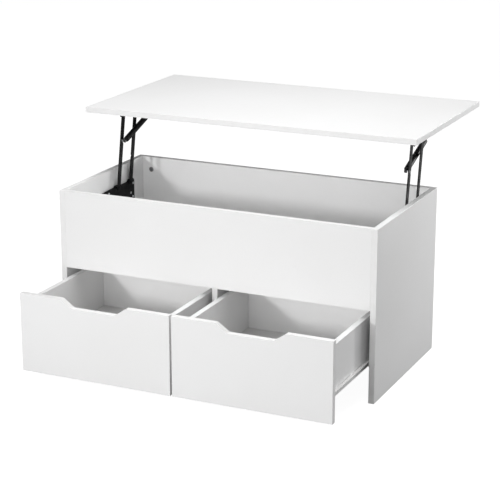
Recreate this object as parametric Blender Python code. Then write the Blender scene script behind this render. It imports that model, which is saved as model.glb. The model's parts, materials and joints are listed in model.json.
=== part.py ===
"""Lift top coffee table with two drawers, drawn with its top raised and its drawers pulled out.

Frame: metres, X to the right, Y to the back, Z up. The origin is on the floor, in the middle of
the cabinet's footprint, and the drawers face -Y.
"""

from math import acos, atan2, cos, hypot, pi, radians, sin

import bmesh
import bpy
from mathutils import Matrix, Vector

MM = 0.001
GAP = 0.0003                    # clearance between pieces that touch
BOARD = 16 * MM                 # melamine board
EDGE_BREAK = 0.5 * MM           # broken edge of every board

# cabinet
CAB_W, CAB_D, CAB_H = 944 * MM, 473 * MM, 478.3 * MM
HALF_W, HALF_D = CAB_W / 2, CAB_D / 2
WALL = HALF_W - BOARD           # inner face of a side panel
APRON_LOW = 256.5 * MM          # lower edge of the front panel
FLOOR_TOP = 273 * MM            # storage floor, its underside just above the apron's edge
BACK_LOW = 33 * MM
BACK_INNER = HALF_D - BOARD
FLOOR_FRONT = -HALF_D + BOARD + GAP

# tabletop
TOP_W, TOP_D = 1000 * MM, 550 * MM
TOP_Y, TOP_UNDER = 241.5 * MM, 657.6 * MM       # centre and underside with the top raised

# drawers
PULL = 246.5 * MM               # how far the drawers are pulled out
FRONT_LOW, FRONT_HIGH = 33 * MM, 254.5 * MM
FRONT_IN, FRONT_OUT = 2.75 * MM, 454 * MM       # a front's inner and outer end, from the middle
NOTCH_TOP, NOTCH_BOTTOM, NOTCH_DEPTH, NOTCH_R = 98 * MM, 65 * MM, 23 * MM, 9 * MM
SIDE_LOW, SIDE_HIGH, SIDE_LEN, SIDE_T = 98.8 * MM, 233 * MM, 400 * MM, 15 * MM
RUNNER_SPACE = 12.5 * MM        # between a drawer side and the wall next to it
PANEL_T = 3 * MM                # drawer bottom, nailed under the drawer's sides and back

# roller runners, offsets from the wall towards the drawer
SHEET = 1.2 * MM
CHANNEL_LOW, CHANNEL_HIGH, CHANNEL_LIP = 94.8 * MM, 120.2 * MM, 10 * MM
ROLLER_R, ROLLER_FROM, ROLLER_TO = 11 * MM, 2.5 * MM, 9.5 * MM
CABINET_ROLLER_Y, CABINET_ROLLER_Z = -206 * MM, 100.4 * MM
DRAWER_ROLLER_Y, DRAWER_ROLLER_Z = -80 * MM, 107.4 * MM
RIVET_R, SCREW_R = 2.5 * MM, 1.6 * MM
FLANGE_FROM, FLANGE_TOP = 3.5 * MM, 113 * MM    # the drawer angle's rolling flange
CHANNEL_REAR = 199 * MM
STOP_Y, STOP_LOW = -144.2 * MM, 114 * MM        # tab that stops the drawer's wheel
DRAWER_SCREW_FROM, DRAWER_SCREW_STEP, DRAWER_SCREW_Z = 40 * MM, 150 * MM, 105 * MM
CABINET_SCREW_Y, CABINET_SCREW_Z = (-165 * MM, -5 * MM, 155 * MM), 107.5 * MM

# lift linkage: a parallelogram on each side, its arms leaning back when the top is up
PIVOT_Z, FRONT_PIVOT_Y, REAR_PIVOT_Y = 420.5 * MM, 50.3 * MM, 128.5 * MM
ARM_BACK, ARM_UP = 37.5 * MM, 208.7 * MM        # upper pivot from lower pivot, top raised
ARM_W = 18 * MM
TRAVEL = radians(92.1)                          # the arms' turn from raised to closed
FRONT_ARM_X = (443.2 * MM, 446.2 * MM)
REAR_ARM_X = (446.6 * MM, 449.6 * MM)
FLANGE_X = (451.0 * MM, 453.4 * MM)             # top bracket's flange
BASE_X = (453.2 * MM, 455.7 * MM)               # base bracket's plate
SHANK_R, SHOULDER_R, HEAD_R, NEST_R = 2.6 * MM, 3.6 * MM, 5.2 * MM, 4.7 * MM
STRUT_X = 434 * MM
STRUT_FOOT = 139.5 * MM                         # strut's foot, measured up the front arm
STRUT_HEAD_Y, STRUT_HEAD_Z = 329 * MM, 646 * MM
TUBE_R, ROD_R, TUBE_FROM, TUBE_TO = 8.2 * MM, 3 * MM, 7 * MM, 161 * MM

SIDES = {"left": -1, "right": 1}
PANEL_LOW = SIDE_LOW - GAP - PANEL_T
ARM_LEN = hypot(ARM_BACK, ARM_UP)
ARM_DIR = Vector((0, ARM_BACK / ARM_LEN, ARM_UP / ARM_LEN))
FRONT_FOOT = Vector((0, FRONT_PIVOT_Y, PIVOT_Z))
REAR_FOOT = Vector((0, REAR_PIVOT_Y, PIVOT_Z))
FRONT_HEAD = FRONT_FOOT + ARM_DIR * ARM_LEN
REAR_HEAD = REAR_FOOT + ARM_DIR * ARM_LEN
NEST = Matrix.Rotation(-TRAVEL, 3, "X") @ (FRONT_FOOT - REAR_FOOT)  # where closed arms pass rivets
STRUT_LOW = FRONT_FOOT + ARM_DIR * STRUT_FOOT
STRUT_HIGH = Vector((0, STRUT_HEAD_Y, STRUT_HEAD_Z))
STRUT_DIR = (STRUT_HIGH - STRUT_LOW).normalized()

FINISHES = {                    # colour, roughness, metallic
    "white_board": ((0.86, 0.86, 0.86), 0.45, 0.0),
    "white_panel": ((0.80, 0.80, 0.80), 0.55, 0.0),
    "white_steel": ((0.78, 0.78, 0.77), 0.35, 0.0),
    "black_steel": ((0.018, 0.018, 0.020), 0.45, 0.0),
    "strut_black": ((0.012, 0.012, 0.014), 0.30, 0.0),
    "strut_chrome": ((0.60, 0.60, 0.62), 0.12, 1.0),
    "zinc": ((0.62, 0.62, 0.64), 0.30, 1.0),
    "cam_grey": ((0.10, 0.10, 0.105), 0.40, 1.0),
    "nylon": ((0.82, 0.82, 0.80), 0.35, 0.0),
}

# where each moving body's empty stands, and the body that it hangs from
BODIES = {
    "cabinet": ((0, 0, 0), None),
    "drawer_left": ((-HALF_W / 2, -HALF_D - PULL, SIDE_LOW), "cabinet"),
    "drawer_right": ((HALF_W / 2, -HALF_D - PULL, SIDE_LOW), "cabinet"),
    "drawer_left_wheels": ((-HALF_W / 2, DRAWER_ROLLER_Y, DRAWER_ROLLER_Z), "drawer_left"),
    "drawer_right_wheels": ((HALF_W / 2, DRAWER_ROLLER_Y, DRAWER_ROLLER_Z), "drawer_right"),
    "cabinet_left_wheels": ((-HALF_W / 2, CABINET_ROLLER_Y, CABINET_ROLLER_Z), "cabinet"),
    "cabinet_right_wheels": ((HALF_W / 2, CABINET_ROLLER_Y, CABINET_ROLLER_Z), "cabinet"),
    "rear_arms": (REAR_FOOT, "cabinet"),
    "top": (REAR_HEAD, "rear_arms"),
    "front_arms": (FRONT_FOOT, "cabinet"),
    "strut_tubes": (STRUT_LOW, "front_arms"),
    "strut_rods": (STRUT_HIGH, "strut_tubes"),
}


# ---- scene -------------------------------------------------------------------------------

def clear_scene():
    for ob in list(bpy.data.objects):
        bpy.data.objects.remove(ob)


def add_material(name):
    colour, roughness, metallic = FINISHES[name]
    material = bpy.data.materials.new(name)
    material.use_nodes = True
    shader = material.node_tree.nodes["Principled BSDF"]
    shader.inputs["Base Color"].default_value = (*colour, 1)
    shader.inputs["Roughness"].default_value = roughness
    shader.inputs["Metallic"].default_value = metallic
    return material


def add_bodies():
    empties = {}
    for name, (origin, parent) in BODIES.items():
        empty = bpy.data.objects.new("joint_" + name, None)
        bpy.context.scene.collection.objects.link(empty)
        empty.location = Vector(origin)
        if parent:
            empty.parent = empties[parent]
            empty.location = Vector(origin) - Vector(BODIES[parent][0])
        empties[name] = empty
    return empties


def add_piece(name, bm, finish, body, smooth=False):
    """Makes an object from geometry in world space, with its origin on its body's joint."""
    bmesh.ops.translate(bm, verts=bm.verts, vec=-Vector(BODIES[body][0]))
    bmesh.ops.recalc_face_normals(bm, faces=bm.faces)
    mesh = bpy.data.meshes.new(name)
    bm.to_mesh(mesh)
    bm.free()
    mesh.materials.append(materials[finish])
    if smooth:
        mesh.shade_smooth()
        mesh.set_sharp_from_angle(angle=pi / 5)
    ob = bpy.data.objects.new(name, mesh)
    bpy.context.scene.collection.objects.link(ob)
    ob.parent = empties[body]
    return ob


def apply_boolean(ob, bm, operation):
    """Cuts or joins geometry given in world space, through a hidden wire object."""
    bmesh.ops.recalc_face_normals(bm, faces=bm.faces)
    mesh = bpy.data.meshes.new("cutter_" + ob.name)
    bm.to_mesh(mesh)
    bm.free()
    cutter = bpy.data.objects.new("cutter_" + ob.name, mesh)
    bpy.context.scene.collection.objects.link(cutter)
    cutter.hide_render = True
    cutter.display_type = "WIRE"
    modifier = ob.modifiers.new(operation.lower(), "BOOLEAN")
    modifier.operation = operation
    modifier.solver = "EXACT"
    modifier.object = cutter


def cut(ob, bm):
    apply_boolean(ob, bm, "DIFFERENCE")


def join(ob, bm):
    apply_boolean(ob, bm, "UNION")


# ---- shapes, all in world space --------------------------------------------------------------

def box(bm, low, high):
    made = bmesh.ops.create_cube(bm, size=1)["verts"]
    low, high = Vector(low), Vector(high)
    for v in made:
        v.co = Vector(lo + (c + 0.5) * (hi - lo) for lo, hi, c in zip(low, high, v.co))


def new_box(low, high):
    bm = bmesh.new()
    box(bm, [min(a, b) for a, b in zip(low, high)], [max(a, b) for a, b in zip(low, high)])
    return bm


def prism(bm, outline, place, start, end):
    """Extrudes an outline of (u, v) points. place(u, v, w) gives a point, w runs start to end."""
    rings = [[bm.verts.new(place(u, v, w)) for u, v in outline] for w in (start, end)]
    bm.faces.new(rings[0])
    bm.faces.new(list(reversed(rings[1])))
    for i in range(len(outline)):
        j = (i + 1) % len(outline)
        bm.faces.new((rings[0][i], rings[1][i], rings[1][j], rings[0][j]))


def turned(bm, centre, axis, profile, segments):
    """A turned solid: profile lists (distance along the axis, radius) from one end to the other."""
    axis = Vector(axis).normalized()
    across = axis.orthogonal().normalized()
    third = axis.cross(across)
    rings = []
    for along, radius in profile:
        rings.append([
            bm.verts.new(Vector(centre) + axis * along + radius * (
                across * cos(2 * pi * k / segments) + third * sin(2 * pi * k / segments)))
            for k in range(segments)])
    bm.faces.new(rings[0])
    bm.faces.new(list(reversed(rings[-1])))
    for a, b in zip(rings, rings[1:]):
        for k in range(segments):
            n = (k + 1) % segments
            bm.faces.new((a[k], b[k], b[n], a[n]))


def rod(bm, start, end, radius, segments):
    start, end = Vector(start), Vector(end)
    turned(bm, start, end - start, [(0, radius), ((end - start).length, radius)], segments)


def arc(centre, radius, start, end, steps):
    return [(centre[0] + radius * cos(start + (end - start) * k / steps),
             centre[1] + radius * sin(start + (end - start) * k / steps)) for k in range(steps + 1)]


def bar_outline(foot, head, half_width, steps=7):
    """A flat bar with round ends between two points in the YZ plane."""
    tilt = atan2(head.z - foot.z, head.y - foot.y)
    return (arc((head.y, head.z), half_width, tilt - pi / 2, tilt + pi / 2, steps)
            + arc((foot.y, foot.z), half_width, tilt + pi / 2, tilt + 3 * pi / 2, steps))


def rounded(points, radii, steps=5):
    """Replaces each corner of an outline by an arc of its radius, or keeps it where that is 0."""
    out = []
    for i, radius in enumerate(radii):
        here = Vector(points[i])
        if radius == 0:
            out.append(tuple(here))
            continue
        before = (Vector(points[i - 1]) - here).normalized()
        after = (Vector(points[(i + 1) % len(points)]) - here).normalized()
        half = acos(max(-1, min(1, before.dot(after)))) / 2
        centre = here + (before + after).normalized() * (radius / sin(half))
        first = here + before * (radius * cos(half) / sin(half)) - centre
        last = here + after * (radius * cos(half) / sin(half)) - centre
        turn = first.angle_signed(last)
        start = atan2(first.y, first.x)
        out += arc(tuple(centre), radius, start, start - turn, steps)
    return out


def across_x(side):
    """Places an outline in the YZ plane, with w as the distance from the middle to that side."""
    return lambda y, z, x: Vector((side * x, y, z))


def at_x(point, x):
    return Vector((x, point[1], point[2]))


# ---- cam locks -------------------------------------------------------------------------------

CAM_R, CAM_DEEP, CAM_OFFSET = 7.2 * MM, 12 * MM, 28.5 * MM
CAM_SLOT = 3.7 * MM             # half the width of the slot that takes the bolt's head
POCKET_R = 7.5 * MM
FRONT_CAM_Z, BACK_CAM_Z, FLOOR_CAM_Y = (300 * MM, 440 * MM), (75 * MM, 440 * MM), 150 * MM


def cut_pockets(board, faces, normal):
    """Blind round pockets for cam locks, at points on a board's face."""
    normal = Vector(normal)
    pockets = bmesh.new()
    for face in faces:
        rod(pockets, Vector(face) + normal * MM, Vector(face) - normal * (CAM_DEEP + GAP),
            POCKET_R, 16)
    cut(board, pockets)


def make_cam_lock(side):
    """The upper cam lock in the back panel: a disc with a slot that opens towards the side."""
    s = SIDES[side]
    opening = atan2(CAM_SLOT, (CAM_R ** 2 - CAM_SLOT ** 2) ** 0.5)
    outline = arc((0, 0), CAM_R, opening, 2 * pi - opening, 14)
    outline += [(1.5 * MM, -CAM_SLOT), (1.5 * MM, CAM_SLOT)]
    centre = Vector((s * (WALL - CAM_OFFSET), BACK_INNER, BACK_CAM_Z[1]))
    bm = bmesh.new()
    prism(bm, outline, lambda u, v, w: centre + Vector((s * u, w, v)), GAP, CAM_DEEP)
    add_piece("cam_lock_" + side, bm, "cam_grey", "cabinet")


# ---- cabinet -----------------------------------------------------------------------------------

def add_board(name, low, high, body="cabinet"):
    board = add_piece(name, new_box(low, high), "white_board", body)
    bevel = board.modifiers.new("edge", "BEVEL")
    bevel.width = EDGE_BREAK
    bevel.segments = 1
    return board


def make_cabinet():
    end = WALL - GAP
    boards = {
        "front_panel": add_board("front_panel", (-end, -HALF_D, APRON_LOW),
                                 (end, -HALF_D + BOARD, CAB_H)),
        "back_panel": add_board("back_panel", (-end, BACK_INNER, BACK_LOW), (end, HALF_D, CAB_H)),
        "storage_floor": add_board("storage_floor", (-end, FLOOR_FRONT, FLOOR_TOP - BOARD),
                                   (end, BACK_INNER - GAP, FLOOR_TOP)),
        "centre_divider": add_board("centre_divider", (-BOARD / 2, FLOOR_FRONT, 0),
                                    (BOARD / 2, BACK_INNER - GAP, FLOOR_TOP - BOARD - GAP)),
    }
    for side, s in SIDES.items():
        name = "side_panel_" + side
        boards[name] = add_board(name, (min(s * WALL, s * HALF_W), -HALF_D, 0),
                                 (max(s * WALL, s * HALF_W), HALF_D, CAB_H))
    return boards


def cut_cam_pockets(boards):
    ends = [s * (WALL - CAM_OFFSET) for s in SIDES.values()]
    under = FLOOR_TOP - BOARD
    cut_pockets(boards["front_panel"],
                [(x, -HALF_D + BOARD, z) for x in ends for z in FRONT_CAM_Z], (0, 1, 0))
    cut_pockets(boards["back_panel"],
                [(x, BACK_INNER, z) for x in ends for z in BACK_CAM_Z], (0, -1, 0))
    cut_pockets(boards["storage_floor"],
                [(x, y, under) for x in ends for y in (-FLOOR_CAM_Y, FLOOR_CAM_Y)], (0, 0, -1))
    cut_pockets(boards["centre_divider"],
                [(BOARD / 2, y, under - CAM_OFFSET) for y in (-FLOOR_CAM_Y, FLOOR_CAM_Y)],
                (1, 0, 0))


# ---- drawers -----------------------------------------------------------------------------------

def front_outline(left, right):
    """A drawer front's outline in the XZ plane, with its finger cut-out in the upper edge."""
    middle = (left + right) / 2
    low = FRONT_HIGH - NOTCH_DEPTH
    points = [(left, FRONT_LOW), (right, FRONT_LOW), (right, FRONT_HIGH),
              (middle + NOTCH_TOP, FRONT_HIGH), (middle + NOTCH_BOTTOM, low),
              (middle - NOTCH_BOTTOM, low), (middle - NOTCH_TOP, FRONT_HIGH), (left, FRONT_HIGH)]
    return rounded(points, [0, 0, 0, NOTCH_R, NOTCH_R, NOTCH_R, NOTCH_R, 0])


def walls(side):
    """The two walls that a drawer runs between, and the direction from each to the drawer."""
    s = SIDES[side]
    return {"outer": (s * WALL, -s), "inner": (s * BOARD / 2, s)}


def make_drawer(side):
    s = SIDES[side]
    body = "drawer_" + side
    face = -HALF_D - PULL
    behind = face + BOARD + GAP
    back_end = behind + SIDE_LEN
    along_y = lambda x, z, y: Vector((x, y, z))

    bm = bmesh.new()
    prism(bm, front_outline(*sorted((s * FRONT_IN, s * FRONT_OUT))), along_y, face, face + BOARD)
    add_piece(body + "_front", bm, "white_board", body)

    outer_faces = []
    for place, (wall, d) in walls(side).items():
        outer, inner = wall + d * RUNNER_SPACE, wall + d * (RUNNER_SPACE + SIDE_T)
        board = add_piece(f"{body}_{place}_side",
                          new_box((min(outer, inner), behind, SIDE_LOW),
                                  (max(outer, inner), back_end, SIDE_HIGH)), "white_board", body)
        make_drawer_runner(side, place, behind, back_end, board)
        outer_faces.append(outer)
    left, right = min(outer_faces), max(outer_faces)
    add_piece(body + "_back", new_box((left + SIDE_T + GAP, back_end - SIDE_T, SIDE_LOW),
                                      (right - SIDE_T - GAP, back_end, SIDE_HIGH)),
              "white_board", body)
    add_piece(body + "_bottom", new_box((left, behind, PANEL_LOW),
                                        (right, back_end, PANEL_LOW + PANEL_T)),
              "white_panel", body)


def make_drawer_runner(side, place, behind, back_end, board):
    """An angle under a drawer side, with a flange that rolls on the cabinet's wheel, and at its
    rear end a wheel of its own on a rivet."""
    wall, d = walls(side)[place]
    name = f"drawer_{side}_{place}"
    at = lambda offset: wall + d * offset
    leg = RUNNER_SPACE - GAP
    low = PANEL_LOW - GAP - SHEET
    section = [(leg - SHEET, low), (leg + SIDE_T, low), (leg + SIDE_T, low + SHEET),
               (leg, low + SHEET), (leg, FLANGE_TOP), (leg - SHEET, FLANGE_TOP)]
    bm = bmesh.new()
    prism(bm, section, lambda x, z, y: Vector((at(x), y, z)), behind + GAP, back_end)
    runner = add_piece(name + "_runner", bm, "white_steel", f"drawer_{side}")
    join(runner, new_box(
        (at(FLANGE_FROM), behind + GAP, FLANGE_TOP - SHEET),
        (at(leg - SHEET / 2), DRAWER_ROLLER_Y - ROLLER_R - 1.5 * MM, FLANGE_TOP)))
    centre = Vector((wall, DRAWER_ROLLER_Y, DRAWER_ROLLER_Z))
    rivet = bmesh.new()
    turned(rivet, centre, (d, 0, 0), [
        (1.5 * MM, RIVET_R + MM), (2.2 * MM, RIVET_R + MM), (2.2 * MM, RIVET_R),
        (leg - SHEET / 2, RIVET_R)], 12)
    join(runner, rivet)
    make_roller(name + "_roller", centre, d, f"drawer_{side}_wheels")
    holes, pilots = bmesh.new(), bmesh.new()
    for k in range(3):
        point = Vector((wall, behind + DRAWER_SCREW_FROM + k * DRAWER_SCREW_STEP, DRAWER_SCREW_Z))
        add_screw_hole(holes, pilots, point, (d, 0, 0), leg - SHEET, 9 * MM)
    cut(runner, holes)
    cut(board, pilots)


def make_roller(name, centre, d, body):
    """A nylon wheel with a bore for its rivet, as one ring."""
    segments, edge = 20, 1 * MM
    bore = RIVET_R + 0.2 * MM
    profile = [(ROLLER_FROM, bore), (ROLLER_FROM, ROLLER_R - edge),
               (ROLLER_FROM + edge, ROLLER_R), (ROLLER_TO - edge, ROLLER_R),
               (ROLLER_TO, ROLLER_R - edge), (ROLLER_TO, bore)]
    bm = bmesh.new()
    rings = [[bm.verts.new(centre + Vector((d * x, r * cos(2 * pi * k / segments),
                                            r * sin(2 * pi * k / segments))))
              for k in range(segments)] for x, r in profile]
    for a, b in zip(rings, rings[1:] + rings[:1]):
        for k in range(segments):
            n = (k + 1) % segments
            bm.faces.new((a[k], b[k], b[n], a[n]))
    add_piece(name, bm, "nylon", body, smooth=True)


def add_screw_hole(plate_holes, pilots, point, along, plate_at, length):
    """A clearance hole through the plate that starts at plate_at, and the pilot hole behind it."""
    axis = Vector(along)
    rod(plate_holes, point + axis * (plate_at - MM), point + axis * (plate_at + 3 * MM),
        SCREW_R + GAP, 8)
    rod(pilots, point + axis * (plate_at + MM), point + axis * (plate_at + length + MM),
        SCREW_R, 8)


def make_cabinet_runners(boards):
    """Channel members on the walls, each with a wheel at its front end and a stop behind it."""
    divider_pilots = bmesh.new()
    for side in SIDES:
        for place, (wall, d) in walls(side).items():
            pilots = divider_pilots if place == "inner" else bmesh.new()
            make_cabinet_runner(side, place, wall, d, pilots)
            if place == "outer":
                cut(boards["side_panel_" + side], pilots)
    cut(boards["centre_divider"], divider_pilots)


def make_cabinet_runner(side, place, wall, d, pilots):
    name = f"cabinet_{side}_{place}"
    at = lambda offset: wall + d * offset
    web = GAP + SHEET
    front = CABINET_ROLLER_Y + ROLLER_R + 1.5 * MM
    section = [(GAP, CHANNEL_LOW), (CHANNEL_LIP, CHANNEL_LOW), (CHANNEL_LIP, CHANNEL_LOW + SHEET),
               (web, CHANNEL_LOW + SHEET), (web, CHANNEL_HIGH - SHEET),
               (CHANNEL_LIP, CHANNEL_HIGH - SHEET), (CHANNEL_LIP, CHANNEL_HIGH),
               (GAP, CHANNEL_HIGH)]
    bm = bmesh.new()
    prism(bm, section, lambda x, z, y: Vector((at(x), y, z)), front, CHANNEL_REAR)
    runner = add_piece(name + "_runner", bm, "white_steel", "cabinet")
    join(runner, new_box((at(GAP), CABINET_ROLLER_Y - 8 * MM, CHANNEL_LOW),
                         (at(web), front + 5 * MM, CHANNEL_HIGH)))
    join(runner, new_box((at(web / 2), STOP_Y, STOP_LOW),
                         (at(CHANNEL_LIP - MM), STOP_Y + SHEET, CHANNEL_HIGH - SHEET / 2)))
    centre = Vector((wall, CABINET_ROLLER_Y, CABINET_ROLLER_Z))
    rivet = bmesh.new()
    turned(rivet, centre, (d, 0, 0), [
        (web / 2, RIVET_R), (9.8 * MM, RIVET_R), (9.8 * MM, RIVET_R + MM),
        (10.4 * MM, RIVET_R + MM)], 12)
    join(runner, rivet)
    make_roller(name + "_roller", centre, d, f"cabinet_{side}_wheels")
    stagger = {"outer": 0, "inner": SIDES[side] * 12 * MM}[place]
    holes = bmesh.new()
    for y in CABINET_SCREW_Y:
        add_screw_hole(holes, pilots, Vector((wall, y + stagger, CABINET_SCREW_Z)), (-d, 0, 0),
                       -web, 9 * MM)
    cut(runner, holes)


# ---- lift mechanism ----------------------------------------------------------------------------

BASE_OUTLINE = [(-110, 388), (-98, 380), (20, 380), (62, 350), (160, 350), (160, 420), (151, 428),
                (124, 428), (118, 422), (62, 422), (57, 427), (43, 427), (38, 423), (-62, 420),
                (-110, 404)]
BASE_SCREWS = [(-85, 400), (7, 411), (138, 384), (150, 370), (152, 411)]
FLANGE_LOW, LEG_INNER = 624 * MM, 428 * MM
FLANGE_WASTE = [                # cut from the flange's lower edge, which leaves a lug at each arm
    (50, 600), (50, 645), (76, 645), (81, 636), (82.5, 629), (85.4, 625), (90.2, 625), (93, 629),
    (98, 635), (106, 641), (148, 641), (156, 634), (159, 627), (162, 624), (170, 624), (173, 627),
    (176, 634), (184, 641), (360, 641), (360, 600)]
TOP_BRACKET_Y = (60 * MM, 350 * MM)
TOP_SCREW_X, TOP_SCREW_Y = 438 * MM, (75 * MM, 127 * MM, 250 * MM, 340 * MM)
BALL_R, NECK_R, FITTING_R, FITTING_END = 3.4 * MM, 3 * MM, 5.3 * MM, 6 * MM
BORE_FROM, ROD_INSIDE = 19 * MM, 15 * MM        # the tube's bore, and the rod's end inside it


def pivot_holes(points, side, x_range):
    holes = bmesh.new()
    s = SIDES[side]
    for point in points:
        rod(holes, at_x(point, s * (x_range[0] - MM)), at_x(point, s * (x_range[1] + MM)),
            SHANK_R + GAP, 12)
    return holes


def make_base_bracket(side, panel):
    s = SIDES[side]
    bm = bmesh.new()
    prism(bm, [(y * MM, z * MM) for y, z in BASE_OUTLINE], across_x(s), *BASE_X)
    bracket = add_piece("base_bracket_" + side, bm, "black_steel", "cabinet")
    holes, pilots = pivot_holes((FRONT_FOOT, REAR_FOOT), side, BASE_X), bmesh.new()
    for y, z in BASE_SCREWS:
        add_screw_hole(holes, pilots, Vector((0, y * MM, z * MM)), (s, 0, 0), BASE_X[0], 13 * MM)
    cut(bracket, holes)
    cut(panel, pilots)


def make_arm(name, side, x_range, foot, head, body, nest, extra=()):
    """A flat bar with a shallow bite in one edge, which passes the other arm's rivet when closed."""
    bm = bmesh.new()
    prism(bm, bar_outline(foot, head, ARM_W / 2), across_x(SIDES[side]), *x_range)
    arm = add_piece(f"{name}_{side}", bm, "black_steel", body)
    cutters = pivot_holes((foot, head, *extra), side, x_range)
    s = SIDES[side]
    rod(cutters, at_x(nest, s * (x_range[0] - MM)), at_x(nest, s * (x_range[1] + MM)), NEST_R, 16)
    cut(arm, cutters)


def make_top_bracket(side, top_pilots):
    """An angle: a flange that holds the upper pivots and a leg screwed under the tabletop."""
    s = SIDES[side]
    high = TOP_UNDER - GAP
    low = high - (FLANGE_X[1] - FLANGE_X[0])
    section = [(FLANGE_X[0], FLANGE_LOW), (FLANGE_X[1], FLANGE_LOW), (FLANGE_X[1], high),
               (LEG_INNER, high), (LEG_INNER, low), (FLANGE_X[0], low)]
    bm = bmesh.new()
    prism(bm, section, lambda x, z, y: Vector((s * x, y, z)), *TOP_BRACKET_Y)
    bracket = add_piece("top_bracket_" + side, bm, "black_steel", "top")
    waste = bmesh.new()
    prism(waste, [(y * MM, z * MM) for y, z in FLANGE_WASTE], across_x(s),
          FLANGE_X[0] - MM, FLANGE_X[1] + MM)
    cut(bracket, waste)
    holes = pivot_holes((FRONT_HEAD, REAR_HEAD, STRUT_HIGH), side, FLANGE_X)
    for y in TOP_SCREW_Y:
        add_screw_hole(holes, top_pilots, Vector((s * TOP_SCREW_X, y, low)), (0, 0, 1), 0, 12 * MM)
    cut(bracket, holes)


def make_pivot(name, side, point, plate, arm, head_t, head_r, body):
    """A rivet along X, with a shoulder that keeps the arm off its bracket's plate."""
    outer, face = plate[1] - GAP, plate[0] - GAP
    shoulder, head = arm[1] + GAP, arm[0] - GAP
    bm = bmesh.new()
    turned(bm, at_x(point, 0), (SIDES[side], 0, 0), [
        (outer, SHANK_R), (face, SHANK_R), (face, SHOULDER_R), (shoulder, SHOULDER_R),
        (shoulder, SHANK_R), (head, SHANK_R), (head, head_r), (head - head_t * 0.6, head_r),
        (head - head_t, head_r * 0.7)], 12)
    add_piece(f"{name}_{side}", bm, "black_steel", body, smooth=True)


def make_pivots(side):
    tall, flat, small = 1.6 * MM, 1.3 * MM, 4 * MM
    make_pivot("front_foot_rivet", side, FRONT_FOOT, BASE_X, FRONT_ARM_X, tall, HEAD_R, "cabinet")
    make_pivot("rear_foot_rivet", side, REAR_FOOT, BASE_X, REAR_ARM_X, tall, HEAD_R, "cabinet")
    make_pivot("front_head_rivet", side, FRONT_HEAD, FLANGE_X, FRONT_ARM_X, tall, HEAD_R, "top")
    make_pivot("rear_head_rivet", side, REAR_HEAD, FLANGE_X, REAR_ARM_X, flat, small, "top")


def make_stud(name, side, point, plate, tip, body):
    """A stud for a strut's end: shank in its plate, collar on the plate, and a tip towards the
    strut, given as (x, radius) points."""
    face, collar = plate[0] - GAP, 4.5 * MM
    profile = [(plate[1] - GAP, SHANK_R), (face, SHANK_R), (face, collar),
               (face - 1.5 * MM, collar)]
    bm = bmesh.new()
    turned(bm, at_x(point, 0), (SIDES[side], 0, 0), profile + tip, 12)
    add_piece(f"{name}_{side}", bm, "zinc", body, smooth=True)


def make_studs(side):
    """The foot's ball turns in its strut's socket. The head's stud stops short of the rod's end:
    the linkage is open there, so the two must pass each other part way through the travel."""
    short = STRUT_X + 5.9 * MM
    ball_tip = [(FRONT_ARM_X[0] - 1.8 * MM, 2 * MM)]
    ball_tip += [(STRUT_X + BALL_R * cos(pi * k / 6), BALL_R * sin(pi * k / 6)) for k in range(1, 6)]
    short_tip = [(FLANGE_X[0] - 1.8 * MM, BALL_R), (short + MM, BALL_R), (short, BALL_R - MM)]
    make_stud("strut_foot_stud", side, STRUT_LOW, FRONT_ARM_X, ball_tip, "front_arms")
    make_stud("strut_head_stud", side, STRUT_HIGH, FLANGE_X, short_tip, "top")


def socket_cut(side, point):
    """The opening of a strut's end fitting, which takes the stud's ball from the wall side."""
    opening = BALL_R + 0.5 * MM
    bm = bmesh.new()
    turned(bm, at_x(point, 0), (SIDES[side], 0, 0),
           [(STRUT_X - 4 * MM, opening), (STRUT_X + 10 * MM, opening)], 16)
    return bm


def make_strut(side):
    """A tube with a bore, and the rod that slides in it, each with an end fitting."""
    foot, head = (at_x(point, SIDES[side] * STRUT_X) for point in (STRUT_LOW, STRUT_HIGH))
    bm = bmesh.new()
    turned(bm, foot, STRUT_DIR, [
        (-FITTING_END, NECK_R), (MM - FITTING_END, FITTING_R), (TUBE_FROM, FITTING_R),
        (TUBE_FROM, TUBE_R - 2 * MM), (TUBE_FROM + 2 * MM, TUBE_R), (TUBE_TO - 2 * MM, TUBE_R),
        (TUBE_TO, TUBE_R - 2 * MM)], 16)
    tube = add_piece("strut_tube_" + side, bm, "strut_black", "strut_tubes", smooth=True)
    cut(tube, socket_cut(side, STRUT_LOW))
    bore = bmesh.new()
    rod(bore, foot + STRUT_DIR * BORE_FROM, foot + STRUT_DIR * (TUBE_TO + MM), ROD_R + GAP, 14)
    cut(tube, bore)
    reach = (head - foot).length - (TUBE_TO - ROD_INSIDE)
    bm = bmesh.new()
    turned(bm, head, -STRUT_DIR, [
        (-FITTING_END, NECK_R), (MM - FITTING_END, FITTING_R), (5.5 * MM, FITTING_R),
        (7 * MM, NECK_R + MM), (8.5 * MM, ROD_R), (reach, ROD_R)], 16)
    rod_piece = add_piece("strut_rod_" + side, bm, "strut_chrome", "strut_rods", smooth=True)
    cut(rod_piece, socket_cut(side, STRUT_HIGH))


def make_lift(boards):
    top_pilots = bmesh.new()
    for side in SIDES:
        make_base_bracket(side, boards["side_panel_" + side])
        make_arm("front_arm", side, FRONT_ARM_X, FRONT_FOOT, FRONT_HEAD, "front_arms",
                 FRONT_HEAD - NEST, [STRUT_LOW])
        make_arm("rear_arm", side, REAR_ARM_X, REAR_FOOT, REAR_HEAD, "rear_arms",
                 REAR_FOOT + NEST)
        make_top_bracket(side, top_pilots)
        make_pivots(side)
        make_strut(side)
        make_studs(side)
    top = add_board("tabletop", (-TOP_W / 2, TOP_Y - TOP_D / 2, TOP_UNDER),
                    (TOP_W / 2, TOP_Y + TOP_D / 2, TOP_UNDER + BOARD), "top")
    cut(top, top_pilots)


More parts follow.
